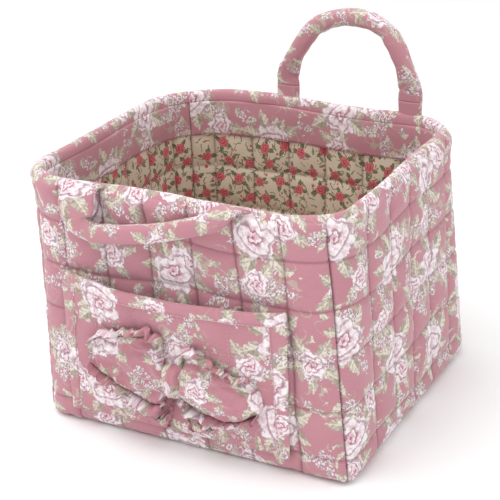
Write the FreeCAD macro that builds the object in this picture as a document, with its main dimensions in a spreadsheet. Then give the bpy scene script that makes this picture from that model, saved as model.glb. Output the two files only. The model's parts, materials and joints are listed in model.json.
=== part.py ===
import FreeCAD, Part
import math
import os
import re
import Sketcher

# A soft, open-topped quilted sewing basket: four padded walls and a stiffened base, each a sandwich
# of printed outer cover, wadding and lining; a facing band and a rolled binding at the rim; two
# padded handles sewn into the rim; and a patch pocket with a gathered bow on the front wall.
#
# Origin: the centre of the base, on the face the basket stands on. +X runs to the right along the
# front wall, +Y to the back wall, +Z up. Millimetres.

# Driving dimensions: spreadsheet name, value, meaning.
DIMENSIONS = [
    ("base_length", 269, "outside length along X where the basket stands"),
    ("base_depth", 247, "outside depth along Y where the basket stands"),
    ("base_corner", 30, "outside corner radius at the base"),
    ("rim_length", 262, "outside length along X at the rim"),
    ("rim_depth", 242, "outside depth along Y at the rim"),
    ("rim_corner", 45, "outside corner radius at the rim"),
    ("rim_height", 200, "top of the rolled rim"),
    ("lean_left", 7, "the soft rim leans this far towards -X"),
    ("lean_front", 2, "the soft rim leans this far towards -Y"),
    ("base_roll", 12, "radius with which the walls roll under the base"),
    ("base_seam", 5, "from the end of that roll to the seam of the base panels"),
    ("cover_thick", 2, "quilted outer cover"),
    ("wadding_thick", 6, "wadding between cover and lining"),
    ("board_thick", 3, "stiffening board in the base"),
    ("lining_thick", 1.5, "printed cotton lining"),
    ("facing_thick", 1, "facing band sewn over the lining"),
    ("facing_drop", 30, "facing band below the binding"),
    ("binding_height", 9, "rolled binding above the walls"),
    ("binding_overhang", 0.5, "binding past the wall on both sides"),
    ("binding_round", 5, "rounding of the binding's top edges"),
    ("pocket_left", -97, "left edge of the patch pocket"),
    ("pocket_right", 85, "right edge of the patch pocket"),
    ("pocket_bottom", 16, "bottom edge of the pocket"),
    ("pocket_top", 127, "top edge of the pocket panel"),
    ("pocket_edge", 2, "how far the pocket stands off the wall at its sides"),
    ("pocket_gape", 10, "extra depth at the middle of the pocket's mouth"),
    ("pocket_belly", 5, "extra depth at the middle of the pocket's bottom"),
    ("pocket_cloth", 1.5, "quilted pocket panel"),
    ("hem_thick", 0.8, "binding strip on the pocket's edges"),
    ("top_hem", 8, "height of the strip along the pocket's mouth"),
    ("side_hem", 11, "width of the strips down the pocket's sides"),
    ("bow_thick", 8, "gathered cloth of the bow"),
    ("strap_thick", 6, "flattened end of a handle"),
    ("strap_width", 21, "width of a handle's flattened end"),
    ("strap_reach", 15, "from the fold at the rim to the fold at the padded tube"),
    ("fold_gap", 0.4, "clearance at both folds"),
    ("tube_radius", 7.5, "padded tube of a handle"),
    ("core_radius", 6, "wadding roll inside the tube"),
    ("end_seam", 2, "cloth that closes the tube past its wadding roll"),
]

# Centre lines of the padded tubes: points (X, distance from the fold), rounded by tangent arcs. The
# end points lie past the fold, where the tube is cut off square. The front tube hangs, the back one
# stands.
FRONT_TUBE = [(-74, -6), (-74, 10), (-90, 26), (-82, 41), (-30, 36), (8, 25), (38, 14), (38, -6)]
BACK_TUBE = [(-28, -6), (-28, 6), (-20, 28), (-4, 49), (32, 58), (60, 50), (71, 34), (79, 8), (79, -6)]
TUBE_ARC_SHARE = 0.45  # of the shorter run beside each arc

# Outlines of the bow's pieces on the pocket, points (X, Z), rounded by tangent arcs.
BOW_OUTLINES = {
    "bow_left_loop": [(-10, 72), (-14, 99), (-46, 90), (-78, 74), (-74, 52), (-28, 33), (-10, 54)],
    "bow_right_loop": [(6, 72), (22, 86), (58, 76), (67, 64), (62, 48), (22, 34), (6, 54)],
    "bow_knot": [(-9, 50), (-9, 76), (5, 76), (5, 50)],
    "bow_left_tail": [(-6, 49), (-26, 24), (-12, 18), (-2.5, 49)],
    "bow_right_tail": [(-1.5, 49), (12, 18), (28, 26), (3, 49)],
}
BOW_ARC_SHARE = 0.3

UP = FreeCAD.Vector(0, 0, 1)
ALONG = FreeCAD.Vector(1, 0, 0)
REACH = 600  # past the basket on every side, for the blocks that cut it
SIDES = ("front", "right", "back", "left")

# Depths below the outside of the wall, and the heights where the layers end.
WADDING_FROM = "cover_thick"
LINING_FROM = "cover_thick + wadding_thick"
LINING_TO = "cover_thick + wadding_thick + lining_thick"
FACING_TO = "cover_thick + wadding_thick + lining_thick + facing_thick"
WALL_TOP = "rim_height - binding_height"
FACING_FROM = "rim_height - binding_height - facing_drop"

doc = FreeCAD.newDocument("SewingBasket")
sheet = doc.addObject("Spreadsheet::Sheet", "Dimensions")
for row, (alias, size, meaning) in enumerate(DIMENSIONS, start=1):
    sheet.set(f"A{row}", meaning)
    sheet.set(f"B{row}", str(size))
    sheet.setAlias(f"B{row}", alias)
doc.recompute()

sub_parts = []


# ---- small tools -------------------------------------------------------------------------------


def number(formula):
    """The present value of a formula in the sheet's names."""
    return float(sheet.evalExpression(formula))


def bind(item, target, formula):
    """Ties a property to a formula in the sheet's names."""
    item.setExpression(target, re.sub(r"[a-z_]+", lambda name: "Dimensions." + name.group(), formula))


def place(item, x="0", y="0", z="0"):
    """Ties an object's position to formulas."""
    bind(item, "Placement.Base.x", x)
    bind(item, "Placement.Base.y", y)
    bind(item, "Placement.Base.z", z)


def block(name, size, corner, turn=0):
    """A box with its lowest corner at a point, turned about the vertical through it."""
    box = doc.addObject("Part::Box", name)
    for side, formula in zip(("Length", "Width", "Height"), size):
        bind(box, side, formula)
    box.Placement.Rotation = FreeCAD.Rotation(UP, turn)
    place(box, *corner)
    return box


def slab(name, bottom, top):
    """Everything between two heights."""
    return block(name, (f"{REACH}", f"{REACH}", f"({top}) - ({bottom})"), (f"-{REACH / 2}", f"-{REACH / 2}", bottom))


def column(name, low_x, high_x):
    """Everything between two positions along X."""
    return block(name, (f"({high_x}) - ({low_x})", f"{REACH}", f"{REACH}"), (low_x, f"-{REACH / 2}", f"-{REACH / 2}"))


def combine(kind, name, base, tool):
    """A Part boolean of two objects: Cut or Common."""
    result = doc.addObject("Part::" + kind, name)
    result.Base = base
    result.Tool = tool
    result.Refine = False
    return result


def keep(item, node):
    """Names a finished sub-part and lists it for export."""
    item.Label = node
    sub_parts.append(item)
    return item


def drive(sketch, constraint, label, formula):
    """Adds a named dimension to a sketch and ties it to a formula."""
    index = sketch.addConstraint(constraint)
    sketch.renameConstraint(index, label)
    bind(sketch, f"Constraints.{label}", formula)


def rounded_wire(points, share, closed):
    """Straight runs joined by tangent arcs, each arc taking a share of the shorter run beside it."""
    count = len(points)
    stops = []
    for index, corner in enumerate(points):
        if not closed and index in (0, count - 1):
            stops.append((corner, None, corner))
            continue
        back = points[index - 1] - corner
        ahead = points[(index + 1) % count] - corner
        reach = share * min(back.Length, ahead.Length)
        back.normalize()
        ahead.normalize()
        inward = back + ahead
        inward.normalize()
        half_opening = back.getAngle(ahead) / 2
        radius = reach * math.tan(half_opening)
        middle = corner + inward * (radius / math.sin(half_opening) - radius)
        stops.append((corner + back * reach, middle, corner + ahead * reach))
    edges = []
    for index, (start, middle, end) in enumerate(stops):
        if middle is not None:
            edges.append(Part.Arc(start, middle, end).toShape())
        if closed or index < count - 1:
            following = stops[(index + 1) % count][0]
            edges.append(Part.LineSegment(end, following).toShape())
    return Part.Wire(edges)


# ---- the tapered body --------------------------------------------------------------------------


def rounded_rectangle(name, length, depth, corner, x="0", y="0", z="0"):
    """A sketch of a rectangle with rounded corners, centred on x, y at the height z."""
    sketch = doc.addObject("Sketcher::SketchObject", name)
    half_x, half_y, radius = number(length) / 2, number(depth) / 2, number(corner)
    flat_x, flat_y = half_x - radius, half_y - radius
    sides = [
        ((-flat_x, -half_y), (flat_x, -half_y)),
        ((half_x, -flat_y), (half_x, flat_y)),
        ((flat_x, half_y), (-flat_x, half_y)),
        ((-half_x, flat_y), (-half_x, -flat_y)),
    ]
    for start, end in sides:
        sketch.addGeometry(Part.LineSegment(FreeCAD.Vector(*start, 0), FreeCAD.Vector(*end, 0)))
    for turn, (x_sign, y_sign) in enumerate([(1, -1), (1, 1), (-1, 1), (-1, -1)]):
        circle = Part.Circle(FreeCAD.Vector(x_sign * flat_x, y_sign * flat_y, 0), UP, radius)
        sketch.addGeometry(Part.ArcOfCircle(circle, (turn - 1) * math.pi / 2, turn * math.pi / 2))
    for side in range(4):
        arc = 4 + side
        sketch.addConstraint(Sketcher.Constraint("Tangent", side, 2, arc, 1))
        sketch.addConstraint(Sketcher.Constraint("Tangent", arc, 2, (side + 1) % 4, 1))
    sketch.addConstraint(Sketcher.Constraint("Horizontal", 0))
    sketch.addConstraint(Sketcher.Constraint("Vertical", 1))
    sketch.addConstraint(Sketcher.Constraint("Horizontal", 2))
    sketch.addConstraint(Sketcher.Constraint("Symmetric", 4, 3, 6, 3, -1, 1))
    for arc in (5, 6, 7):
        sketch.addConstraint(Sketcher.Constraint("Equal", 4, arc))
    drive(sketch, Sketcher.Constraint("DistanceX", 3, 1, 1, 1, 2 * half_x), "length", length)
    drive(sketch, Sketcher.Constraint("DistanceY", 0, 1, 2, 2, 2 * half_y), "depth", depth)
    drive(sketch, Sketcher.Constraint("Radius", 4, radius), "corner", corner)
    place(sketch, x, y, z)
    return sketch


def inset_rectangle(name, end, inset, x="0", y="0", z="0"):
    """The basket's outline at its base or its rim, drawn in by inset."""
    sizes = (f"{end}_length - 2 * ({inset})", f"{end}_depth - 2 * ({inset})", f"{end}_corner - ({inset})")
    return rounded_rectangle(name, *sizes, x, y, z)


def tapered(name, inset):
    """The whole basket as a solid block, drawn in by inset on every side."""
    loft = doc.addObject("Part::Loft", name)
    base = inset_rectangle(name + "_base", "base", inset)
    rim = inset_rectangle(name + "_rim", "rim", inset, "-lean_left", "-lean_front", "rim_height")
    loft.Sections = [base, rim]
    loft.Solid = True
    loft.Ruled = True
    return loft


def round_level(name, base, level, radius):
    """Rounds every edge of base that lies wholly at one height."""
    doc.recompute()
    height, size = number(level), number(radius)
    edges = []
    for index, edge in enumerate(base.Shape.Edges, start=1):
        limits = edge.BoundBox
        if max(abs(limits.ZMin - height), abs(limits.ZMax - height)) < 0.01:
            edges.append((index, size, size))
    rounded = doc.addObject("Part::Fillet", name)
    rounded.Base = base
    rounded.Edges = edges
    return rounded


def core(name, inset):
    """The room inside the first layers of the wall. Its floor lies as deep as the layers are thick."""
    cropped = combine("Common", name + "_cropped", tapered(name + "_block", inset), slab(name + "_slab", inset, WALL_TOP))
    return round_level(name, cropped, inset, f"base_roll - ({inset})")


def wall_cutters():
    """Blocks that part a ring of wall at its four corner seams, and one for everything in front."""
    apex = "(base_length - base_depth) / 2"
    size = (f"{REACH}", f"{REACH}", f"{REACH}")
    right = block("right_of_seams", size, (apex, "0", f"-{REACH / 2}"), -45)
    left = block("left_of_seams", size, (f"-({apex})", "0", f"-{REACH / 2}"), 135)
    front = block("front_half", size, (f"-{REACH / 2}", f"-{REACH}", f"-{REACH / 2}"))
    return right, left, front


def split_walls(ring, pattern):
    """Four panels out of a ring of wall, one for each side of the basket."""
    ends_off = combine("Cut", ring.Name + "_less_right", ring, cut_right)
    ends_off = combine("Cut", ring.Name + "_less_ends", ends_off, cut_left)
    pieces = {
        "front": combine("Common", ring.Name + "_front", ends_off, cut_front),
        "right": combine("Common", ring.Name + "_right", ring, cut_right),
        "back": combine("Cut", ring.Name + "_back", ends_off, cut_front),
        "left": combine("Common", ring.Name + "_left", ring, cut_left),
    }
    for side in SIDES:
        keep(pieces[side], pattern.format(side))


def layer(name, outside, inside, pattern):
    """One layer of the sandwich: four wall panels, and the flat panel of the base is returned."""
    shell = combine("Cut", name + "_shell", outside, inside)
    split_walls(combine("Cut", name + "_walls", shell, footprint), pattern)
    return combine("Common", name + "_floor", shell, footprint)


def flat_footprint():
    """A low column over the flat part of the base, inside the seam."""
    column_solid = doc.addObject("Part::Extrusion", "footprint")
    column_solid.Base = inset_rectangle("footprint_outline", "base", "base_roll + base_seam")
    column_solid.DirMode = "Custom"
    column_solid.Dir = UP
    bind(column_solid, "LengthFwd", "base_roll")
    column_solid.Solid = True
    return column_solid


def rim_binding():
    """The rolled top edge: a ring on top of the walls, round above."""
    outside = tapered("binding_outside", "-binding_overhang")
    inside = tapered("binding_inside", f"{FACING_TO} + binding_overhang")
    ring = combine("Cut", "binding_ring", outside, inside)
    band = combine("Common", "binding_band", ring, slab("binding_slab", WALL_TOP, "rim_height"))
    return round_level("binding", band, "rim_height", "binding_round")


def facing_ring():
    """The facing band inside the rim, over the top of the lining."""
    inside = tapered("facing_inside", FACING_TO)
    ring = combine("Cut", "facing_shell", core_in_basket, inside)
    return combine("Common", "facing_ring", ring, slab("facing_slab", FACING_FROM, WALL_TOP))


cut_right, cut_left, cut_front = wall_cutters()
footprint = flat_footprint()
whole = core("whole", "0")
core_in_cover = core("core_in_cover", WADDING_FROM)
core_in_wadding = core("core_in_wadding", LINING_FROM)
core_in_basket = core("core_in_basket", LINING_TO)

keep(layer("cover", whole, core_in_cover, "outer_{}_panel"), "outer_base_panel")
filling = layer("wadding", core_in_cover, core_in_wadding, "wadding_{}")
board_space = slab("board_space", f"{LINING_FROM} - board_thick", LINING_FROM)
keep(combine("Cut", "soft_floor", filling, board_space), "wadding_base")
keep(combine("Common", "stiff_floor", filling, board_space), "base_board")
keep(layer("lining", core_in_wadding, core_in_basket, "lining_{}"), "lining_base")
split_walls(facing_ring(), "rim_facing_{}")
keep(rim_binding(), "rim_binding")


# ---- patch pocket and bow ----------------------------------------------------------------------


def bulged_outline(name, growth, bulge, z):
    """The pocket seen from above: straight sides and a bulging front. Growth is added all round."""
    left, right = f"pocket_left - ({growth})", f"pocket_right + ({growth})"
    front = f"-(base_depth / 2 + pocket_edge + ({growth}))"
    half_width = f"((({right}) - ({left})) / 2)"
    radius = f"({half_width} ^ 2 + ({bulge}) ^ 2) / (2 * ({bulge}))"
    x_low, x_high, y_front = number(left), number(right), number(front)
    corners = [FreeCAD.Vector(x, y, 0) for x, y in ((x_low, 0), (x_low, y_front), (x_high, y_front), (x_high, 0))]
    middle = FreeCAD.Vector((x_low + x_high) / 2, y_front - number(bulge), 0)
    sketch = doc.addObject("Sketcher::SketchObject", name)
    sketch.addGeometry(Part.LineSegment(corners[0], corners[1]))
    sketch.addGeometry(Part.Arc(corners[1], middle, corners[2]))
    sketch.addGeometry(Part.LineSegment(corners[2], corners[3]))
    sketch.addGeometry(Part.LineSegment(corners[3], corners[0]))
    sketch.addConstraint(Sketcher.Constraint("Coincident", 0, 2, 1, 1))
    sketch.addConstraint(Sketcher.Constraint("Coincident", 1, 2, 2, 1))
    sketch.addConstraint(Sketcher.Constraint("Coincident", 2, 2, 3, 1))
    sketch.addConstraint(Sketcher.Constraint("Coincident", 3, 2, 0, 1))
    sketch.addConstraint(Sketcher.Constraint("Vertical", 0))
    sketch.addConstraint(Sketcher.Constraint("Vertical", 2))
    sketch.addConstraint(Sketcher.Constraint("Horizontal", 1, 1, 1, 2))
    sketch.addConstraint(Sketcher.Constraint("PointOnObject", 0, 1, -1))
    sketch.addConstraint(Sketcher.Constraint("PointOnObject", 2, 2, -1))
    drive(sketch, Sketcher.Constraint("DistanceX", -1, 1, 0, 1, x_low), "left", left)
    drive(sketch, Sketcher.Constraint("DistanceX", -1, 1, 2, 2, x_high), "right", right)
    drive(sketch, Sketcher.Constraint("DistanceY", -1, 1, 0, 2, y_front), "front", front)
    drive(sketch, Sketcher.Constraint("Radius", 1, number(radius)), "bulge", radius)
    place(sketch, z=z)
    return sketch


def bulged_block(name, growth):
    """The pocket as a solid, deeper at its mouth than at its bottom, with the wall taken away."""
    loft = doc.addObject("Part::Loft", name + "_loft")
    bottom = bulged_outline(name + "_bottom", growth, "pocket_belly", "pocket_bottom")
    mouth = bulged_outline(name + "_mouth", growth, "pocket_gape", "pocket_top + hem_thick")
    loft.Sections = [bottom, mouth]
    loft.Solid = True
    loft.Ruled = True
    return combine("Cut", name, loft, whole)


def pocket():
    """The panel, open at its mouth, and the three binding strips sewn over its edges."""
    above_floor = slab("pocket_inside_slab", "pocket_bottom + pocket_cloth", "rim_height")
    hollow = combine("Common", "pocket_hollow", bulged_block("pocket_inside", "-pocket_cloth"), above_floor)
    below_mouth = slab("pocket_slab", "pocket_bottom", "pocket_top")
    block_of_cloth = combine("Common", "pocket_block", bulged_block("pocket_outside", "0"), below_mouth)
    keep(combine("Cut", "pocket_shell", block_of_cloth, hollow), "pocket_panel")
    strips = combine("Cut", "strips_less_panel", over_pocket, block_of_cloth)
    strips = combine("Cut", "strips", strips, hollow)
    mouth = slab("mouth_slab", "pocket_top - top_hem", "rim_height")
    keep(combine("Common", "mouth_strip", strips, mouth), "pocket_top_binding")
    side_strips = combine("Cut", "side_strips", strips, mouth)
    left = column("left_column", "pocket_left - side_hem", "pocket_left + side_hem")
    right = column("right_column", "pocket_right - side_hem", "pocket_right + side_hem")
    keep(combine("Common", "left_strip", side_strips, left), "pocket_left_binding")
    keep(combine("Common", "right_strip", side_strips, right), "pocket_right_binding")


def bow():
    """Five pieces of one thickness that follow the bulge of the pocket."""
    cloth = combine("Cut", "bow_cloth", bulged_block("bow_front", "hem_thick + bow_thick"), over_pocket)
    for node, outline in BOW_OUTLINES.items():
        points = [FreeCAD.Vector(x, -REACH / 2, z) for x, z in outline]
        shape = doc.addObject("Part::Feature", node + "_outline")
        shape.Shape = rounded_wire(points, BOW_ARC_SHARE, closed=True)
        cutter = doc.addObject("Part::Extrusion", node + "_cutter")
        cutter.Base = shape
        cutter.DirMode = "Custom"
        cutter.Dir = FreeCAD.Vector(0, 1, 0)
        cutter.LengthFwd = REACH / 2
        cutter.Solid = True
        keep(combine("Common", node + "_cloth", cloth, cutter), node)


over_pocket = bulged_block("over_pocket", "hem_thick")
pocket()
bow()


# ---- handles -----------------------------------------------------------------------------------


def strap(node, x, y, turn):
    """A handle's flattened end, from the fold at the rim to the fold at the tube, along its own Y."""
    body = doc.addObject("PartDesign::Body", node + "_body")
    body.Label = node
    sketch = body.newObject("Sketcher::SketchObject", node + "_profile")
    plane = next(item for item in body.Origin.OriginFeatures if item.Role == "YZ_Plane")
    sketch.AttachmentSupport = [(plane, "")]
    sketch.MapMode = "FlatFace"
    reach, radius = number("strap_reach"), number("strap_thick / 2")
    near, far = FreeCAD.Vector(0, 0, 0), FreeCAD.Vector(reach, 0, 0)
    side = FreeCAD.Vector(0, radius, 0)
    sketch.addGeometry(Part.LineSegment(near - side, far - side))
    sketch.addGeometry(Part.ArcOfCircle(Part.Circle(far, UP, radius), -math.pi / 2, math.pi / 2))
    sketch.addGeometry(Part.LineSegment(far + side, near + side))
    sketch.addGeometry(Part.ArcOfCircle(Part.Circle(near, UP, radius), math.pi / 2, 3 * math.pi / 2))
    for edge in range(4):
        sketch.addConstraint(Sketcher.Constraint("Tangent", edge, 2, (edge + 1) % 4, 1))
    sketch.addConstraint(Sketcher.Constraint("Horizontal", 0))
    sketch.addConstraint(Sketcher.Constraint("Coincident", 3, 3, -1, 1))
    drive(sketch, Sketcher.Constraint("DistanceX", 3, 3, 1, 3, reach), "reach", "strap_reach")
    drive(sketch, Sketcher.Constraint("Radius", 3, radius), "radius", "strap_thick / 2")
    pad = body.newObject("PartDesign::Pad", node + "_pad")
    pad.Profile = sketch
    pad.Midplane = True
    bind(pad, "Length", "strap_width")
    body.Tip = pad
    body.Placement.Rotation = FreeCAD.Rotation(ALONG, turn)
    place(body, str(x), y, "rim_height + strap_thick / 2 + fold_gap")
    sub_parts.append(body)


def tube_solid(name, wire, radius, beyond_fold):
    """A round rod along a wire, cut off square beyond the fold."""
    path = doc.addObject("Part::Feature", name + "_path")
    path.Shape = wire
    circle = doc.addObject("Part::Circle", name + "_section")
    bind(circle, "Radius", radius)
    start = wire.Edges[0].Vertexes[0].Point
    circle.Placement = FreeCAD.Placement(start, FreeCAD.Rotation(UP, wire.Edges[0].tangentAt(0)))
    sweep = doc.addObject("Part::Sweep", name + "_sweep")
    sweep.Sections = [circle]
    sweep.Spine = (path, [f"Edge{index + 1}" for index in range(len(wire.Edges))])
    sweep.Solid = True
    return combine("Common", name, sweep, beyond_fold)


def handle(side, points, fold_y, fold_z, downward):
    """One padded tube: a cloth cover, closed at its ends, around a wadding roll."""
    sign = -1 if downward else 1
    y, z = number(fold_y), number(fold_z)
    wire = rounded_wire([FreeCAD.Vector(x, y, z + sign * reach) for x, reach in points], TUBE_ARC_SHARE, closed=False)
    clear = "strap_thick / 2 + fold_gap"

    def beyond(name, gap):
        if downward:
            return slab(name, "0", f"{fold_z} - ({gap})")
        return slab(name, f"{fold_z} + {gap}", f"{fold_z} + rim_height")

    outside = tube_solid(side + "_tube", wire, "tube_radius", beyond(side + "_tube_slab", clear))
    inside = tube_solid(side + "_roll", wire, "core_radius", beyond(side + "_roll_slab", f"{clear} + end_seam"))
    keep(combine("Cut", side + "_tube_cover", outside, inside), side + "_handle_cover")
    keep(inside, side + "_handle_core")


FOLD_HEIGHT = "rim_height + strap_thick / 2 + fold_gap"
FRONT_RIM = f"-rim_depth / 2 - lean_front + ({FACING_TO}) / 2"
BACK_RIM = f"rim_depth / 2 - lean_front - ({FACING_TO}) / 2"

for end, (x, _) in (("left", FRONT_TUBE[0]), ("right", FRONT_TUBE[-1])):
    strap(f"front_handle_{end}_end", x, FRONT_RIM, 180)
for end, (x, _) in (("left", BACK_TUBE[0]), ("right", BACK_TUBE[-1])):
    strap(f"back_handle_{end}_end", x, BACK_RIM, 90)
handle("front", FRONT_TUBE, f"{FRONT_RIM} - strap_reach", FOLD_HEIGHT, downward=True)
handle("back", BACK_TUBE, BACK_RIM, f"{FOLD_HEIGHT} + strap_reach", downward=False)


# ---- check and export --------------------------------------------------------------------------

doc.recompute()
for item in doc.Objects:
    if {"Invalid", "Error"} & set(item.State):
        raise RuntimeError(f"{item.Label} did not recompute: {item.State}")
os.makedirs("parts", exist_ok=True)
for item in sub_parts:
    if item.Shape.isNull() or not item.Shape.isValid():
        raise RuntimeError(f"{item.Label} has no valid shape")
    item.Shape.exportStep(f"parts/{item.Label}.step")
    print(f"{item.Label}: {len(item.Shape.Solids)} solid, {item.Shape.Volume / 1000:.1f} cm3")
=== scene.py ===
import json
import math
from functools import partial

import bmesh
import bpy
import numpy as np
from mathutils import Matrix, Vector


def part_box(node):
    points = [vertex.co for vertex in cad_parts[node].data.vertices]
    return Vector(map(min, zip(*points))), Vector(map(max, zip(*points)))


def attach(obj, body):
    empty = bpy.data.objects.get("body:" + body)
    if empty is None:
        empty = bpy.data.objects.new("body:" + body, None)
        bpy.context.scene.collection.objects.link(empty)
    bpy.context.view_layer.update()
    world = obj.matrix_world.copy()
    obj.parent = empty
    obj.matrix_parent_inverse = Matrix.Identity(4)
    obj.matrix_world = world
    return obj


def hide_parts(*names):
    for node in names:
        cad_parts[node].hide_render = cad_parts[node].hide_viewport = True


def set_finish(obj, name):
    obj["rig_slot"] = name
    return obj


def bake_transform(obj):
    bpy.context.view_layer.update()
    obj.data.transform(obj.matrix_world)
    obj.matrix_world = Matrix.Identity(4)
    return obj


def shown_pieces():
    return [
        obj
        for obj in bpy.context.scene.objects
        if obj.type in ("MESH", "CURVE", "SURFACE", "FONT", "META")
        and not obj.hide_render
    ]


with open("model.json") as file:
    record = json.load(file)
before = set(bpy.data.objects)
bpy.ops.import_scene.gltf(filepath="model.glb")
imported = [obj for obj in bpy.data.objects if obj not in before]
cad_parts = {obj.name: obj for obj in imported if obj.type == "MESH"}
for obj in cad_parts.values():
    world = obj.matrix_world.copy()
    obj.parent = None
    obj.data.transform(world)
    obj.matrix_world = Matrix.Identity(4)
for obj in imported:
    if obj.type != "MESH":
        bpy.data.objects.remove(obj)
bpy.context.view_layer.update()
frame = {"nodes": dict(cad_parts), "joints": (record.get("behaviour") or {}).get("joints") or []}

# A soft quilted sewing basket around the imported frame. Metres; +X right along the front wall, +Y back,
# +Z up; the basket stands on z = 0. Cloth coordinates (UV) are metres of cloth, so the print and the
# weave keep their size on every piece.

MM = 0.001
FULL_TURN = 2 * math.pi
stitch_lines = {}  # lines of points that thread follows, by group

# ---- sizes, worked out from the frame ----

RIM_LOW, RIM_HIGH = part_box("rim_binding")
OVERHANG = 0.5 * MM  # the rim binding past the wall, on both sides
RIM_TOP = RIM_HIGH.z
WALL_TOP = RIM_LOW.z
RIM_HALF = ((RIM_HIGH.x - RIM_LOW.x) / 2 - OVERHANG, (RIM_HIGH.y - RIM_LOW.y) / 2 - OVERHANG)
RIM_SHIFT = ((RIM_HIGH.x + RIM_LOW.x) / 2, (RIM_HIGH.y + RIM_LOW.y) / 2)
BASE_HALF = (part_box("outer_right_panel")[1].x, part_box("outer_back_panel")[1].y)
BASE_CORNERS = {"front_left": 24 * MM, "front_right": 12 * MM, "back_right": 22 * MM, "back_left": 30 * MM}
RIM_CORNERS = {"front_left": 40 * MM, "front_right": 45 * MM, "back_right": 44 * MM, "back_left": 66 * MM}
BASE_SEAM = 17 * MM  # the seam of the base panel, in from the wall
WALL_THICK = 10.5 * MM
GROUND_GAP = 0.2 * MM

# Each wall: its direction as seen from above, its outward normal, and the corners at its two ends.
SIDES = {
    "front": ((1, 0), (0, -1), "front_left", "front_right"),
    "right": ((0, 1), (1, 0), "front_right", "back_right"),
    "back": ((-1, 0), (0, 1), "back_right", "back_left"),
    "left": ((0, -1), (-1, 0), "back_left", "front_left"),
}
QUILT_PITCH = 37 * MM
QUILT_HEIGHTS = [20 * MM, 58 * MM, 96 * MM, 133 * MM, 168 * MM]
# Where each wall's first upright line lies, from its middle, and where its cloth was cut from the print.
QUILT_LINES = {"front": 16 * MM, "right": 4 * MM, "back": -9 * MM, "left": 15 * MM}
PRINT_START = {"front": -19 * MM, "right": 30 * MM, "back": 11 * MM, "left": 52 * MM}
FINE_STEP = 2.65 * MM  # between the points of a simulated sheet

# ---- small tools ----


def wobble(points, size, seed):
    """Smooth noise from -1 to 1 at points (n, 3), with features about size across."""
    draw = np.random.default_rng(seed)
    total = np.zeros(len(points))
    for _ in range(5):
        wave = draw.normal(size=3)
        wave *= draw.uniform(0.7, 1.5) / np.linalg.norm(wave)
        total += np.sin(points @ wave * (math.pi / size) + draw.uniform(0, FULL_TURN))
    return total / 2.6


def creased(points, size, seed):
    """Noise with sharp ridges, from -1 in the valleys to 1 along the ridges."""
    return 1 - 2 * np.abs(np.clip(wobble(points, size, seed), -1, 1))


def spots(x, y=0.0):
    """Points (x, y, 0), where noise is drawn for a place on flat cloth."""
    x, y = np.broadcast_arrays(np.atleast_1d(x), y)
    return np.column_stack([x, y, x * 0.0])


def grid_of(across, upward):
    """Both coordinates of every point of a grid, numbered along its rows."""
    return tuple(values.ravel() for values in np.meshgrid(across, upward))


def smooth_step(value):
    value = np.clip(value, 0, 1)
    return value * value * (3 - 2 * value)


def bell(distance, width):
    """1 at no distance, falling off smoothly over about this width."""
    return np.exp(-((distance / width) ** 2))


def squared_off(wave, power):
    """A cosine or sine with fuller sides, so that a circle made from it grows towards a square."""
    return np.sign(wave) * np.abs(wave) ** power


def unit(vectors):
    return vectors / np.linalg.norm(vectors, axis=-1, keepdims=True)


def travelled(line):
    """Distance from a line's start to each of its points."""
    return np.concatenate([[0], np.cumsum(np.linalg.norm(np.diff(line, axis=0), axis=1))])


def evenly(line, count):
    """A polyline resampled to count evenly spaced points."""
    steps = travelled(line)
    wanted = np.linspace(0, steps[-1], count)
    return np.column_stack([np.interp(wanted, steps, values) for values in line.T])


def soften(points):
    """The basket's own softness: every wall layer leans and bulges by the same small amount."""
    moved = points.copy()
    rise = np.clip(points[:, 2] / RIM_TOP, 0, 1)
    for axis, amount, size, seed in ((0, 2.0, 70, 3), (1, 2.0, 70, 4), (2, 1.3, 60, 5)):
        moved[:, axis] += amount * MM * rise * wobble(points, size * MM, seed)
    return moved


# ---- meshes ----


def make_object(name, points, faces, uvs=None, seam=None):
    """A smooth mesh object. uvs: metres of cloth per point, or per corner of every face.
    seam: painted shade, from 0 to 1: on the walls how near each point is to a line of stitches, where the
    groove's shade is painted; on the bow its creases and edges."""
    mesh = bpy.data.meshes.new(name)
    mesh.from_pydata([tuple(point) for point in points], [], faces)
    if uvs is not None:
        corners = np.zeros(len(mesh.loops), np.int32)
        mesh.loops.foreach_get("vertex_index", corners)
        by_corner = uvs if len(uvs) == len(corners) else uvs[corners]
        mesh.uv_layers.new(name="cloth").data.foreach_set("uv", by_corner.ravel())
    if seam is not None:
        mesh.attributes.new("seam", "FLOAT", "POINT").data.foreach_set("value", seam.astype(np.float32))
    mesh.polygons.foreach_set("use_smooth", np.ones(len(mesh.polygons), bool))
    piece = bpy.data.objects.new(name, mesh)
    bpy.context.scene.collection.objects.link(piece)
    return piece


def add_piece(name, nodes, points, faces, uvs, slot="rose_print", seam=None):
    """A piece of cloth that rides on the basket and stands for CAD nodes, rounded by one subdivision."""
    piece = make_object(name, points, faces, uvs, seam)
    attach(piece, "basket")
    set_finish(piece, slot)
    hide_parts(*nodes)
    modifier = piece.modifiers.new("Smooth", "SUBSURF")
    modifier.levels = 1
    modifier.render_levels = 1
    return piece


def grid_faces(rows, columns, wrap=False):
    """Quads of a grid whose points are numbered along its rows."""
    faces = []
    for here in range(0, (rows - 1) * columns, columns):
        above = here + columns
        for column in range(columns if wrap else columns - 1):
            following = (column + 1) % columns
            faces.append((here + column, here + following, above + following, above + column))
    return faces


def tube_faces(rings, around):
    """Faces of a tube of rings, closed at both ends."""
    last = (rings - 1) * around
    caps = [tuple(reversed(range(around))), tuple(range(last, last + around))]
    return grid_faces(rings, around, wrap=True) + caps


def turned_over(faces):
    return [tuple(reversed(face)) for face in faces]


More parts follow.
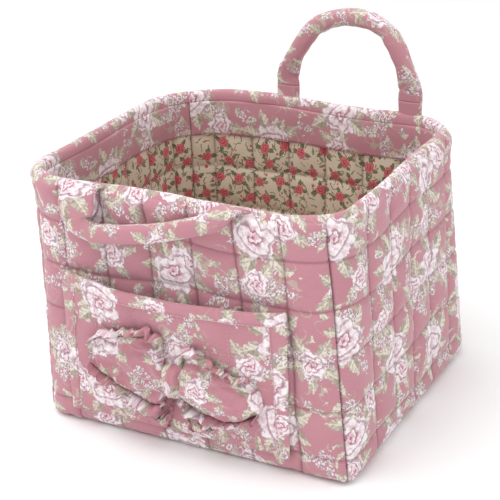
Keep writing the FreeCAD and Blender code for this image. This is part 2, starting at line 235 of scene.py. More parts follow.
def pad(name, nodes, front, back, rows, uvs, slot="rose_print", seam=None, inside_out=False):
    """A closed pad between two grids of points with the same rows."""
    count = len(front)
    columns = count // rows
    faces = grid_faces(rows, columns)
    faces += [tuple(count + corner for corner in face) for face in turned_over(faces)]
    border = list(range(columns))
    border += range(2 * columns - 1, count, columns)
    border += range(count - 2, count - columns - 1, -1)
    border += range(count - 2 * columns, 0, -columns)
    for here, following in zip(border, border[1:] + border[:1]):
        faces.append((following, here, count + here, count + following))
    if inside_out:
        faces = turned_over(faces)
    if seam is not None:
        seam = np.concatenate([seam, np.zeros(count)])
    points = np.concatenate([front, back])
    return add_piece(name, nodes, points, faces, np.concatenate([uvs, uvs]), slot, seam)


def face_outward(mesh):
    """Turns every face outward."""
    work = bmesh.new()
    work.from_mesh(mesh)
    bmesh.ops.recalc_face_normals(work, faces=work.faces)
    work.to_mesh(mesh)
    work.free()


# ---- cloth simulation ----

CLOTH_SCALE = 10.0  # the cloth solver is steadier on a sheet of metres than of centimetres
CLOTH = {
    "vertex_group_mass": "sewn",
    "quality": 5,
    "mass": 0.1,
    "tension_stiffness": 15,
    "compression_stiffness": 15,
    "shear_stiffness": 5,
    "bending_stiffness": 0.15,
    "use_pressure": True,
}


def puff(points, faces, sewn, growth, pressure, most, frames=18):
    """Blender's cloth: a sheet held at its sewn points, a little too large, pressed out from behind."""
    sheet = make_object("cloth", points * CLOTH_SCALE, faces)
    group = sheet.vertex_groups.new(name="sewn")
    group.add([int(index) for index in np.flatnonzero(sewn)], 1.0, "REPLACE")
    modifier = sheet.modifiers.new("Cloth", "CLOTH")
    for name, value in CLOTH.items():
        setattr(modifier.settings, name, value)
    modifier.settings.uniform_pressure_force = pressure
    modifier.settings.shrink_min = -growth
    modifier.settings.effector_weights.gravity = 0
    modifier.collision_settings.use_collision = False
    modifier.point_cache.frame_end = frames
    for moment in range(1, frames + 1):
        bpy.context.scene.frame_set(moment)
    shaped = sheet.evaluated_get(bpy.context.evaluated_depsgraph_get()).to_mesh()
    result = np.zeros(len(shaped.vertices) * 3)
    shaped.vertices.foreach_get("co", result)
    bpy.data.objects.remove(sheet)
    bpy.context.scene.frame_set(1)
    shift = result.reshape(-1, 3) / CLOTH_SCALE - points
    length = np.linalg.norm(shift, axis=1, keepdims=True)
    return points + shift * np.minimum(1, most / np.maximum(length, 1e-9))


# ---- the basket's walls ----


def at_height(base, rim, height, depth):
    """A measure of the walls at a height, from its values at base and rim, less a depth into the wall."""
    return base + (rim - base) * np.clip(height / RIM_TOP, 0, 1.1) - depth


def wall_length(side, height, depth=0.0):
    """(half length of the wall, radii at its ends, total length from seam to seam) at a height."""
    direction, _, first, last = SIDES[side]
    along = 0 if direction[0] else 1
    half = at_height(BASE_HALF[along], RIM_HALF[along], height, depth)
    ends = (at_height(BASE_CORNERS[corner], RIM_CORNERS[corner], height, depth) for corner in (first, last))
    start, end = (np.maximum(radius, 2 * MM) for radius in ends)
    return half, start, end, 2 * half - start - end + (start + end) * math.pi / 4


def cloth_length(side):
    """Length of a wall's cloth, taken at half height."""
    return float(wall_length(side, RIM_TOP / 2)[3])


def cloth_start(side):
    """How far round the basket a wall's cloth begins, from the front-left seam."""
    names = list(SIDES)
    return sum(cloth_length(name) for name in names[: names.index(side)])


def wall_points(side, share, height, depth):
    """Points and outward normals at a share of the wall's length, a height and a depth into the wall."""
    values = np.broadcast_arrays(share, height, depth)
    share, height, depth = (np.asarray(value, float).ravel() for value in values)
    direction, outward = SIDES[side][:2]
    half, start, end, total = wall_length(side, height, depth)
    across = 1 if direction[0] else 0
    out = at_height(BASE_HALF[across], RIM_HALF[across], height, depth)
    run = share * total
    arc, straight = start * math.pi / 4, 2 * half - start - end
    parts = [run < arc, run > arc + straight]  # on the first corner, on the last corner
    first_turn = math.pi / 4 * (1 - run / arc)
    last_turn = (run - arc - straight) / end
    along = [-(half - start) - start * np.sin(first_turn), half - end + end * np.sin(last_turn)]
    along = np.select(parts, along, -(half - start) + (run - arc))
    away = [out - start + start * np.cos(first_turn), out - end + end * np.cos(last_turn)]
    away = np.select(parts, away, out)
    lean = np.select(parts, [-first_turn, last_turn], 0.0)
    rise = np.clip(height / RIM_TOP, 0, 1.1)
    points, normals = np.zeros((len(run), 3)), np.zeros((len(run), 3))
    for axis in (0, 1):
        points[:, axis] = direction[axis] * along + outward[axis] * away + RIM_SHIFT[axis] * rise
        normals[:, axis] = direction[axis] * np.sin(lean) + outward[axis] * np.cos(lean)
    points[:, 2] = height
    return points, normals


def rolled_profile(travel, layer, into=0.0):
    """(height, inset) after a travel over the cloth from the base seam, over the roll and up the wall."""
    floor, depth, roll = layer["floor"], layer["depth"], layer["roll"]
    flat = BASE_SEAM - depth - roll
    turn = np.clip((travel - flat) / roll, 0, math.pi / 2)
    radius = roll - into
    inset = depth + into + radius * (1 - np.sin(turn)) + np.maximum(flat - travel, 0)
    climb = np.maximum(travel - flat - roll * math.pi / 2, 0)
    return floor + into + radius * (1 - np.cos(turn)) + climb, inset


def stops_between(breaks, step):
    """Evenly divided stretches between breaks, and which stops are the breaks."""
    stops, sewn = [breaks[0]], [True]
    for low, high in zip(breaks, breaks[1:]):
        count = max(1, round((high - low) / step))
        for index in range(1, count + 1):
            stops.append(low + (high - low) * index / count)
            sewn.append(index == count)
    return np.array(stops), np.array(sewn)


def upright_lines(side, length):
    """Where the upright quilting lines cross a wall of this length, seams included."""
    margin = 9 * MM  # no line runs nearer than this to a seam
    middle = length / 2 + QUILT_LINES[side]
    position = middle - int(middle / QUILT_PITCH) * QUILT_PITCH
    lines = [0.0]
    while position < length - margin:
        if position > margin:
            lines.append(position)
        position += QUILT_PITCH
    return lines + [length]


# A layer: its face at rest below the floor and inside the wall, the radius of its roll at the base,
# where it ends, which way (and how far) its other face lies, and how its cloth swells.
OUTER = {"floor": 0.8 * MM, "depth": 2.6 * MM, "roll": 6.0 * MM, "top": RIM_TOP - 3 * MM, "into": 5 * MM}
OUTER.update(growth=0.026, pressure=4.0, slot="rose_print")
LINING = {"floor": 9.0 * MM, "depth": 9.0 * MM, "roll": 3.0 * MM, "top": 166 * MM, "into": -1 * MM}
LINING.update(growth=0.01, pressure=3.0, slot="lining_print")


def shoulder(height):
    """How far the outer cover moves in near the rim: first a little out, then rolled over the rim's core."""
    turned = np.clip((height - RIM_TOP + 8 * MM) / (6 * MM), 0, 1)
    return 4 * MM * (1 - np.sqrt(1 - turned**2)) - 2.4 * MM * smooth_step((height - WALL_TOP) / (11 * MM) + 1)


def above_ground(points):
    return np.column_stack([points[:, :2], np.maximum(points[:, 2], GROUND_GAP)])


def quilted_wall(side, name, layer, nodes):
    """One quilted panel of the outer cover or of the lining, from the base seam up to the rim.
    Gives its lines of stitches."""
    floor, depth, roll, into = (layer[key] for key in ("floor", "depth", "roll", "into"))
    length = cloth_length(side)
    base_travel = BASE_SEAM - depth - roll + roll * math.pi / 2 - roll - floor
    levels = [0.0] + [height + base_travel for height in QUILT_HEIGHTS if height < layer["top"] - 12 * MM]
    levels.append(layer["top"] + base_travel)
    across, across_sewn = stops_between(upright_lines(side, length), FINE_STEP)
    upward, upward_sewn = stops_between(levels, FINE_STEP)
    rows, columns = len(upward), len(across)
    run, travel = grid_of(across, upward)

    # The lines wander a little, but not at the panel's edges.
    place = np.column_stack([run, travel, np.full(len(run), 1.0 + floor)])
    inner = np.clip(np.minimum(run, length - run) / (12 * MM), 0, 1)
    rise = np.clip(travel / (30 * MM), 0, 1) * np.clip((levels[-1] - travel) / (12 * MM), 0, 1)
    share = (run + 1.3 * MM * inner * rise * wobble(place, 45 * MM, 11)) / length
    line_travel = travel + 1.6 * MM * inner * rise * wobble(place, 55 * MM, 12)

    height, inset = rolled_profile(line_travel, layer)
    if into > 0:
        inset = inset + shoulder(height)
    start, outward = wall_points(side, share, height, inset)
    faces = grid_faces(rows, columns)
    if into < 0:
        faces = turned_over(faces)
    sewn = (across_sewn | upward_sewn[:, None]).ravel()
    front = puff(start, faces, sewn, layer["growth"], layer["pressure"], 5 * MM)
    pinch = np.where(across_sewn, 1.5, 0.0) + np.where(upward_sewn[:, None], 0.9, 0.0)
    pinch[:, [0, -1]] = 0.6
    pinch = np.minimum(pinch, 1.5).ravel() * MM * np.clip(rise * 3, 0, 1)
    front = soften(front - outward * (pinch * math.copysign(1, into))[:, None])
    back = soften(wall_points(side, share, *rolled_profile(line_travel, layer, into))[0])

    upward_sewn[-1] = False  # the upper edge has no line of its own
    # Painted shade: the grooves along the lines of stitches and the panel's edge seams are darkened in the
    # cloth's colour.
    seam = np.where(across_sewn, 1.0, np.where(upward_sewn[:, None], 0.85, 0.0))
    seam[:, [0, -1]] = 0.8
    uvs = np.column_stack([PRINT_START[side] + run, travel - base_travel])
    front_face, back_face = above_ground(front), above_ground(back)
    piece = pad(name, nodes, front_face, back_face, rows, uvs, layer["slot"], seam.ravel(), into < 0)
    grid = front.reshape(rows, columns, 3)
    upright = [grid[:, index] for index in np.flatnonzero(across_sewn)[1:-1]]
    return upright + [grid[index] for index in np.flatnonzero(upward_sewn)[1:]]


# ---- the base ----

BASE_SQUARES = 6
BASE_CORNER = 10 * MM


def rounded_sheet(points, half):
    """Points of a rectangle, with those in its corner squares drawn in to quarter circles."""
    inner = half - BASE_CORNER
    across, along = np.clip((np.abs(points) - inner) / BASE_CORNER, 0, 1).T
    turned = np.column_stack([across * np.sqrt(1 - along**2 / 2), along * np.sqrt(1 - across**2 / 2)])
    in_corner = (across > 0) & (along > 0)
    moved = np.sign(points) * (np.minimum(np.abs(points), inner) + BASE_CORNER * turned)
    return np.where(in_corner[:, None], moved, points)


def base_grid(node, step):
    """A base panel laid out in quilted squares: its points with rounded corners and before them,
    which of them are sewn, the number of rows, and half the panel's size."""
    low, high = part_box(node)
    half = np.array([(high.x - low.x) / 2, (high.y - low.y) / 2])
    across, across_sewn = stops_between(np.linspace(-half[0], half[0], BASE_SQUARES + 1), step)
    upward, upward_sewn = stops_between(np.linspace(-half[1], half[1], BASE_SQUARES + 1), step)
    square = np.column_stack(grid_of(across, upward))
    sewn = (across_sewn | upward_sewn[:, None]).ravel()
    return rounded_sheet(square, half), square, sewn, len(upward), half


def quilted_floor():
    """The lining over the board: a quilted sheet with rounded corners, pressed up by its wadding."""
    flat, _, sewn, rows, _ = base_grid("lining_base", FINE_STEP)
    low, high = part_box("lining_base")
    start = np.column_stack([flat, np.full(len(flat), high.z - 0.5 * MM)])
    top = puff(start, grid_faces(rows, len(flat) // rows), sewn, 0.012, 3.0, 3 * MM)
    under = np.column_stack([flat, np.full(len(flat), low.z + 0.2 * MM)])
    piece = pad("lining_base_quilted", ["lining_base"], top, under, rows, flat + 0.4, "lining_print")


def outer_floor():
    """The underside: flat on the ground, with a shallow groove along each line of quilting."""
    flat, square, _, rows, half = base_grid("outer_base_panel", 2 * FINE_STEP)
    pitch = 2 * half / BASE_SQUARES
    lines = (square + half) / pitch
    near = np.min(np.abs(lines - np.round(lines)) * pitch, axis=1)
    under = np.column_stack([flat, 0.1 * MM + 1.2 * MM * bell(near, 2.2 * MM)])
    top = np.column_stack([flat, np.full(len(flat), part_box("wadding_base")[1].z)])
    piece = pad("outer_base_padded", ["outer_base_panel", "wadding_base"], top, under, rows, flat + 0.9)


# ---- the rim ----

RIM_SPACING = 2.2 * MM  # between the rings of the roll


def rim_section(place):
    """(heights, depths, girth) of the rolled rim at a place round it: the print turned over a soft core,
    a little uneven along its length."""
    swell = 0.5 * MM * float(wobble(spots(place), 38 * MM, 21)[0])
    pinch = 0.35 * MM * float(wobble(spots(place), 15 * MM, 22)[0])
    low = WALL_TOP - 0.2 * MM
    tall = RIM_TOP - low + pinch
    outer, inner = 1.3 * MM - 0.4 * swell, WALL_THICK + 0.4 * MM + swell
    turn = np.linspace(math.pi, 0, 22)
    depths = (outer + inner) / 2 + (inner - outer) / 2 * squared_off(np.cos(turn), 0.9)
    heights = low + 0.6 * MM + (tall - 0.6 * MM) * np.abs(np.sin(turn)) ** 0.85
    depths = np.concatenate([[outer + 0.8 * MM], depths, [inner - 0.8 * MM]])
    heights = np.concatenate([[low], heights, [low]])
    return heights, depths, low + travelled(np.column_stack([depths, heights]))


def rim_roll():
    """The rim: a closed roll all round the basket, whose print runs on at the same scale as the walls'."""
    rings, starts, girths = [], [], []
    for side in SIDES:
        length = cloth_length(side)
        count = max(8, round(length / RIM_SPACING))
        for index in range(count):
            heights, depths, girth = rim_section(cloth_start(side) + index / count * length)
            rings.append(wall_points(side, index / count, heights, depths)[0])
            ends = (index / count, index / count + 1 / count)
            starts.append([PRINT_START[side] + share * length for share in ends])
            girths.append(girth)
    around, count = len(rings), len(rings[0])
    faces, uvs = [], []
    for ring, ((here, there), girth) in enumerate(zip(starts, girths)):
        first, second = ring * count, (ring + 1) % around * count
        for corner in range(count):
            after = (corner + 1) % count
            faces.append((first + corner, second + corner, second + after, first + after))
            low, high = girth[corner], girth[after]
            uvs += [(here, low), (there, low), (there, high), (here, high)]
    piece = add_piece("rim_roll", ["rim_binding"], soften(np.concatenate(rings)), faces, np.array(uvs))


def facing_strips():
    """The outer print carried over the rim and down inside, sewn along its lower edge."""
    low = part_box("rim_facing_front")[0].z
    for side in SIDES:
        length = cloth_length(side)
        columns, rows = max(12, round(length / (3 * MM))), 12
        share, rise = grid_of(np.linspace(0, 1, columns), np.linspace(0, 1, rows))
        height = low + (WALL_TOP + 0.5 * MM - low) * rise
        place = spots(cloth_start(side) + share * length, height)
        swell = 0.7 * MM * wobble(place, 24 * MM, 31) + 0.9 * MM * np.sin(math.pi * rise)
        edges = np.clip(np.minimum(share, 1 - share) * length / (4 * MM), 0.25, 1)
        inner, _ = wall_points(side, share, height, WALL_THICK + (0.8 * MM + swell) * edges)
        outer, _ = wall_points(side, share, height, WALL_THICK - 1.6 * MM)
        uvs = np.column_stack([PRINT_START[side] + share * length, 2 * WALL_TOP + 26 * MM - height])
        node = f"rim_facing_{side}"
        piece = pad(node + "_cloth", [node], soften(inner), soften(outer), rows, uvs, inside_out=True)
        hem, _ = wall_points(side, np.linspace(0.01, 0.99, 90), low + 2.2 * MM, WALL_THICK + 1.3 * MM)
        stitch_lines.setdefault("rim", []).append(soften(hem))


# ---- the pocket ----

POCKET_LOW, POCKET_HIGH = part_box("pocket_panel")
POCKET_LEFT, POCKET_RIGHT = POCKET_LOW.x, POCKET_HIGH.x
POCKET_WIDTH, POCKET_TALL = POCKET_RIGHT - POCKET_LEFT, POCKET_HIGH.z - POCKET_LOW.z
POCKET_GAPE = 11 * MM  # how far the mouth stands off the wall in the middle
POCKET_BELLY = 3 * MM
WALL_FACE = -BASE_HALF[1] - 0.4 * MM
MOUTH_SAG = 3.5 * MM


def pocket_share(x):
    """-1 at the pocket's left edge, 1 at its right edge."""
    return (2 * x - POCKET_LEFT - POCKET_RIGHT) / POCKET_WIDTH


def pocket_mouth(x):
    """Height of the pocket's mouth: it sags between its sewn ends."""
    sag = MOUTH_SAG * (1 - pocket_share(x) ** 2)
    return POCKET_HIGH.z + 1.5 * MM - sag + 0.5 * MM * wobble(spots(x), 30 * MM, 42)


def pocket_points(x, z, out):
    """Points of the pocket's front a distance out from its cloth."""
    x, z, out = (np.asarray(values, float).ravel() for values in np.broadcast_arrays(x, z, out))
    rise = np.clip((z - POCKET_LOW.z) / POCKET_TALL, 0, 1.1)
    arch = (1 - np.abs(np.clip(pocket_share(x), -1, 1)) ** 2.2) ** 0.9
    bulge = arch * (POCKET_BELLY * np.sin(math.pi * np.clip(rise, 0, 1)) + POCKET_GAPE * rise**1.7)
    crumple = 0.9 * MM * arch * np.clip(rise * 4, 0, 1) * wobble(spots(x, z), 34 * MM, 41)
    return np.column_stack([x, WALL_FACE - 1.1 * MM - bulge - crumple - out, z])


def pocket_panel():
    """The quilted front of the pocket, sewn down at its sides and foot and open along its mouth."""
    across, across_sewn = stops_between([0, 0.16, 0.36, 0.56, 0.77, 1], FINE_STEP / POCKET_WIDTH)
    upward, upward_sewn = stops_between([0, 0.36, 0.7, 1], FINE_STEP / POCKET_TALL)
    columns, rows = len(across), len(upward)
    share, rise = grid_of(across, upward)
    x = POCKET_LEFT + POCKET_WIDTH * share
    z = POCKET_LOW.z + (pocket_mouth(x) - POCKET_LOW.z) * rise
    sewn = (across_sewn | upward_sewn[:, None]).ravel()
    front = puff(pocket_points(x, z, 0.2 * MM), grid_faces(rows, columns), sewn, 0.008, 2.0, 1.6 * MM)
    border = np.minimum.reduce([share * POCKET_WIDTH, (1 - share) * POCKET_WIDTH, rise * POCKET_TALL])
    back = pocket_points(x, z, -0.4 * MM - 1.2 * MM * np.clip(border / (6 * MM), 0, 1))
    uvs = np.column_stack([x - POCKET_LEFT + 1.37, z + 0.032])
    piece = pad("pocket_panel_quilted", ["pocket_panel"], front, back, rows, uvs)
    foot = np.linspace(POCKET_LEFT + 9 * MM, POCKET_RIGHT - 11 * MM, 90)
    lines = [pocket_points(foot, POCKET_LOW.z + 7 * MM, 1.5 * MM)]
    grid = front.reshape(rows, columns, 3)
    lines += [grid[: rows - 4, column] for column in np.flatnonzero(across_sewn)[1:-1]]
    lines += [grid[row, 4:-4] for row in np.flatnonzero(upward_sewn)[1:-1]]
    stitch_lines["pocket"] = lines


def pocket_side(name, node, edge, inward, wide_top, wide_foot, shift):
    """One upright strip over the pocket's side, wider at the mouth than at the foot."""

    def inner(rise):
        return edge + inward * (wide_foot + (wide_top - wide_foot) * rise)

    rows = round(POCKET_TALL / (2.5 * MM))
    share, rise = grid_of(np.linspace(0, 1, 9), np.linspace(0, 1, rows))
    outer = edge - inward * (1.2 * MM + 0.4 * MM * wobble(spots(rise * POCKET_TALL), 20 * MM, 52))
    left, right = (outer, inner(rise)) if inward > 0 else (inner(rise), outer)
    x = left + (right - left) * share
    foot = POCKET_LOW.z - 0.5 * MM
    z = foot + (pocket_mouth(x) - foot) * rise
    pucker = 0.35 * MM * wobble(spots(rise * POCKET_TALL, share * 0.01), 6 * MM, 51)
    front = pocket_points(x, z, 1.3 * MM + (0.9 * MM + pucker) * np.sin(math.pi * share) ** 0.5)
    uvs = np.column_stack([x + shift, z * 1.02 + shift])
    piece = pad(name, [node], front, pocket_points(x, z, 0.3 * MM), rows, uvs)
    rise = np.linspace(0.02, 0.97, 60)
    line = pocket_points(inner(rise) - inward * 1.5 * MM, POCKET_LOW.z + POCKET_TALL * rise, 2.0 * MM)
    stitch_lines["pocket"].append(line)


def pocket_hem():
    """The band folded over the mouth, with its line of stitches."""
    drop, thick, behind, turn = 9 * MM, 2.3 * MM, 2.4 * MM, 1.2 * MM
    count = round(POCKET_WIDTH / (2 * MM))
    x = np.linspace(POCKET_LEFT - 0.8 * MM, POCKET_RIGHT + 0.8 * MM, count)
    top = pocket_mouth(x) + 1.6 * MM
    downs = [drop * (1 - step / 7) for step in range(8)]
    section = [(down, thick) for down in downs]
    for index in range(1, 9):
        cosine, sine = math.cos(math.pi * index / 9), math.sin(math.pi * index / 9)
        section.append((-turn * sine, thick * (0.5 + 0.5 * cosine) - turn * (1 - cosine)))
    section += [(down, -behind) for down in reversed(downs)]
    grid, uvs = [], []
    for travel, (down, out) in zip(travelled(np.array(section)), section):
        pucker = 0.3 * MM * wobble(spots(x, travel), 7 * MM, 61)
        swell = 0.5 * MM * math.sin(math.pi * min(1, max(0, down / drop)))
        grid.append(pocket_points(x, top - down, out + (swell + pucker if out > 0 else 0)))
        uvs.append(np.column_stack([x + 2.113, np.full(count, travel + 0.47)]))
    points = np.concatenate(grid)
    around = grid_faces(len(section) + 1, count)
    faces = [tuple(corner % len(points) for corner in face) for face in around]
    faces.append(tuple(range(0, len(points), count)))
    faces.append(tuple(range(len(points) - 1, 0, -count)))
    piece = add_piece("pocket_top_hem", ["pocket_top_binding"], points, faces, np.concatenate(uvs))
    line = pocket_points(x[4:-4], (top - drop + 1.6 * MM)[4:-4], thick + 0.4 * MM)
    stitch_lines["pocket"].append(line)


# ---- the bow ----

LOBE_ROWS, LOBE_COLUMNS = 60, 84
HEM = 0.8  # where a lobe's ruffle starts, from 0 in its middle to 1 at its edges

# Each lobe: how its name goes on, its upper and lower edges from the knot outward as shares of its
# CAD box (width, height), how high its middle and its ruffle stand, and its seed.
LOBES = {
    "bow_left_loop": (
        "puffed",
        [(1.0, 0.64), (1.03, 0.94), (0.88, 1.1), (0.5, 1.0), (0.2, 0.88), (0.02, 0.66)],
        [(1.0, 0.34), (0.97, 0.1), (0.8, -0.06), (0.5, 0.08), (0.22, 0.26), (0.0, 0.46)],
        (4.5 * MM, 8 * MM),
        3,
    ),
    "bow_right_loop": (
        "puffed",
        [(0.0, 0.75), (0.02, 1.14), (0.2, 1.22), (0.58, 0.94), (0.88, 0.84), (1.0, 0.62)],
        [(0.0, 0.36), (0.1, 0.04), (0.34, -0.04), (0.62, -0.02), (0.92, 0.16), (1.02, 0.4)],
        (4.5 * MM, 8 * MM),
        5,
    ),
    "bow_left_tail": (
        "ruffled",
        [(1.0, 1.0), (0.72, 0.6), (0.35, 0.3), (0.0, 0.12)],
        [(0.9, 0.95), (0.82, 0.5), (0.72, 0.2), (0.6, 0.0)],
        (3.5 * MM, 3.5 * MM),
        7,
    ),
    "bow_right_tail": (
        "ruffled",
        [(0.0, 1.0), (0.2, 0.62), (0.28, 0.3), (0.36, 0.0)],
        [(0.12, 1.0), (0.42, 0.66), (0.7, 0.4), (1.0, 0.18)],
        (3.5 * MM, 3.5 * MM),
        9,
    ),
}


def box_curve(node, shares, count):
    """A smooth curve (Catmull-Rom) of evenly spaced (x, z) points, through shares of a CAD box."""
    low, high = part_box(node)
    corners = np.array([(low.x + (high.x - low.x) * x, low.z + (high.z - low.z) * z) for x, z in shares])
    padded = np.concatenate([2 * corners[:1] - corners[1:2], corners, 2 * corners[-1:] - corners[-2:-1]])
    t = (np.arange(24) / 24)[:, None]
    points = []
    for before, here, there, after in zip(padded, padded[1:], padded[2:], padded[3:]):
        square = 2 * before - 5 * here + 4 * there - after
        cube = 3 * here - before - 3 * there + after
        points.append(0.5 * (2 * here + (there - before) * t + square * t**2 + cube * t**3))
    return evenly(np.concatenate(points + [corners[-1:]]), count)


def bow_lobe(node, ending, upper, lower, size, seed):
    """A slack lobe between two edges that start at the knot, with a gathered ruffle along both edges."""
    lift, frill = size
    rows, columns = LOBE_ROWS, LOBE_COLUMNS
    top, foot = (box_curve(node, shares, columns) for shares in (upper, lower))
    along, across = grid_of(np.linspace(0, 1, columns), np.linspace(0, 1, rows))
    edge = np.abs(2 * across - 1)
    plan = (foot + (top - foot) * across.reshape(rows, columns, 1)).reshape(-1, 2)
    place = spots(*plan.T)
    ends = smooth_step(along / 0.08) * smooth_step((1 - along) / 0.04)
    inside = np.clip((HEM + 0.04 - edge) * 6, 0, 1)

    # The ruffle: gathers across it, a ridge along it, and loose cloth that drifts sideways.
    apart = np.where(across > 0.5, 0.3, 0.0)  # the two ruffles draw their noise at different places
    ruffle_place = np.column_stack([np.tile(travelled(top), rows), apart, edge * 0.004])
    gathers = creased(ruffle_place, 5 * MM, seed)
    ridge = bell(edge - 0.9, 0.05)
    loose = smooth_step((edge - HEM) / 0.14)
    drift = np.column_stack([wobble(ruffle_place, 4 * MM, seed + extra) for extra in (3, 4)])
    x, z = (plan + drift * (2.3 * MM * loose * ends)[:, None]).T
    flutter = 0.3 + 0.3 * wobble(ruffle_place, 3.5 * MM, seed + 6)
    ruffle = frill * (ridge * (0.8 + 0.25 * gathers) + loose * flutter)

    # The middle: a crowned pad with crumples, and pleats that fan out from the knot.
    body = lift * np.clip(1 - (edge / HEM) ** 2.2, 0, 1) ** 0.5
    crumple = 1.1 * MM * creased(place, 14 * MM, seed + 1) + 0.6 * MM * wobble(place, 6 * MM, seed + 2)
    fold = creased(np.column_stack([along * 0.02, across * 0.045, along * 0]), 4 * MM, seed + 5)
    pleats = fold * np.exp(-along * 1.8) * 2.4 * MM

    height = 2.6 * MM + (body + ruffle + crumple * inside) * ends
    start = pocket_points(x, z, np.maximum(height, 2.0 * MM))
    held = (edge >= 0.999) | (along <= 0.001) | (along >= 0.999)
    held |= (np.abs(edge - HEM) < 0.02) & (np.tile(np.arange(columns), rows) % 3 == 0)
    front = puff(start, grid_faces(rows, columns), held, 0.12, 0.6, 4 * MM, frames=14)
    front[:, 1] -= (pleats * inside + 1.2 * MM * ridge * gathers) * ends
    front[:, 1] = np.minimum(front[:, 1], pocket_points(x, z, 1.9 * MM)[:, 1])
    flat_back = pocket_points(x, z, 0.9 * MM)
    under = front + np.array([0, 1.0 * MM, 0])
    under[:, 1] = np.minimum(under[:, 1], flat_back[:, 1])
    hollow = (smooth_step((edge - 0.78) / 0.1) * ends)[:, None]
    back = flat_back + (under - flat_back) * hollow

    # Painted shade: the cloth is darkened where the ruffle folds from the middle, all round the edge where
    # the lobe meets the pocket, in the valleys of the gathers and in the pleats by the knot.
    seam = np.maximum.reduce([
        1.15 * bell(edge - HEM, 0.065) * ends,
        bell(edge - 1, 0.03),
        1.1 * ridge * np.clip(-gathers, 0, 1) * ends,
        np.clip(-1.5 * fold, 0, 1) * np.exp(-along * 2.2) * (edge < HEM),
    ])
    uvs = np.column_stack([x * 1.15 + 0.9 + 0.07 * seed, z * 1.15 + 0.05 * seed])
    piece = pad(f"{node}_{ending}", [node], front, back, rows, uvs, seam=seam)


def bow_knot():
    """The gathered middle of the bow, wrapped from top to foot with upright scrunches."""
    low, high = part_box("bow_knot")
    columns, rows = 34, 44
    across, up = grid_of(np.linspace(-1, 1, columns), np.linspace(-1, 1, rows))
    x = (low.x + high.x) / 2 + (high.x - low.x) / 2 * 1.1 * across * (1 + 0.28 * up**2)
    z = (low.z + high.z) / 2 + (high.z - low.z) / 2 * 1.05 * up
    scrunch = 1.3 * MM * wobble(spots(x * 2.6, z * 0.7), 9 * MM, 71)
    scrunch += 0.7 * MM * np.sin(across * 12 + 2.5 * np.sin(up * 3))
    dome = np.sqrt(np.clip(1 - across**2 * 0.95, 0, 1)) * np.sqrt(np.clip(1 - up**4, 0, 1))
    front = pocket_points(x, z, 2 * MM + (9.5 * MM + scrunch) * dome)
    uvs = np.column_stack([x * 1.6 + 0.77, z + 0.2])
    piece = pad("bow_knot_gathered", ["bow_knot"], front, pocket_points(x, z, 0.9 * MM), rows, uvs)


# ---- handles ----

JOINTS = {joint["name"]: Vector(joint["pos_m"]) for joint in frame["joints"]}
STRAP_ROOT = RIM_TOP - 5 * MM  # where a strap comes out of the rim
STRAP_CUT = 3 * MM  # how far past its middle a strap is parted
STRAP_SINK = 2.9 * MM  # a strap over the rim lies this much below its folds, pressed onto the rim
STRAP_RISE = 5 * MM  # and comes up this far over the rim
CORNER_SHARE = 0.45  # of a side of the loop's outline that its rounded corners take
LINE_SMOOTHING = 60  # passes that ease the bends of a handle's centre line
AROUND = 40  # points round a handle

# loop: (share of the way from strap to strap, share of the reach). slant: how far right each folded
# strap's root lies. cloth: where its cloth was cut, between two columns of large roses. tube and strap: half
# width and half thickness. hug: how much nearer the wall than its fold it hangs. ease: over which
# length the strap turns into the tube. gathered: how much wider the left strap's gathers make it.
HANDLES = {
    "front": {
        "loop": [(-0.03, 0.42), (-0.07, 0.7), (0.04, 0.93), (0.42, 0.78), (0.82, 0.46), (0.98, 0.28)],
        "slant": (4 * MM, 12 * MM),
        "cloth": (0.2503, 1.71),
        "tube": (6.9 * MM, 5.0 * MM),
        "strap": (10.0 * MM, 1.9 * MM),
        "hug": 2 * MM,
        "ease": 16 * MM,
        "gathered": 5.5 * MM,
        "seed": 80,
    },
    "back": {
        "loop": [
            (0, 0.1), (0.1, 0.46), (0.25, 0.85), (0.57, 1.0), (0.81, 0.87), (0.9, 0.586), (0.985, 0.138),
        ],
        "cloth": (0.8983, 2.43),
        "tube": (7.0 * MM, 6.6 * MM),
        "strap": (10.0 * MM, 2.4 * MM),
        "hug": 0.0,
        "ease": 6 * MM,
        "gathered": 0.0,
        "seed": 90,
    },
}


def rounded_line(corners):
    """A polyline with every inner corner turned into a curve."""
    corners = np.array(corners)
    t = (np.arange(9) / 8)[:, None]
    points = [corners[:1]]
    for before, corner, after in zip(corners, corners[1:], corners[2:]):
        enter, leave = corner + (before - corner) * CORNER_SHARE, corner + (after - corner) * CORNER_SHARE
        points.append(enter * (1 - t) ** 2 + 2 * corner * t * (1 - t) + leave * t**2)
    return np.concatenate(points + [corners[-1:]])


def standing_strap(x, rim, tube):
    """The back handle's strap: straight up from its root to the tube."""
    return [(x, rim.y, z) for z in np.linspace(STRAP_ROOT, tube.z, 12)][:-1]


def folded_strap(x, slant, rim, plane, begin):
    """The front handle's strap: up out of the rim's inner side, over the rim and down outside."""
    over = (rim.y - plane) / 2
    line = [(x + slant, rim.y, z) for z in np.linspace(begin - 3 * MM, begin, 4)]
    for index in range(1, 24):
        turn = math.pi * index / 24
        y = rim.y - over + over * squared_off(math.cos(turn), 0.8)
        line.append((x + slant * (1 - index / 24), y, begin + STRAP_RISE * math.sin(turn) ** 0.8))
    return line


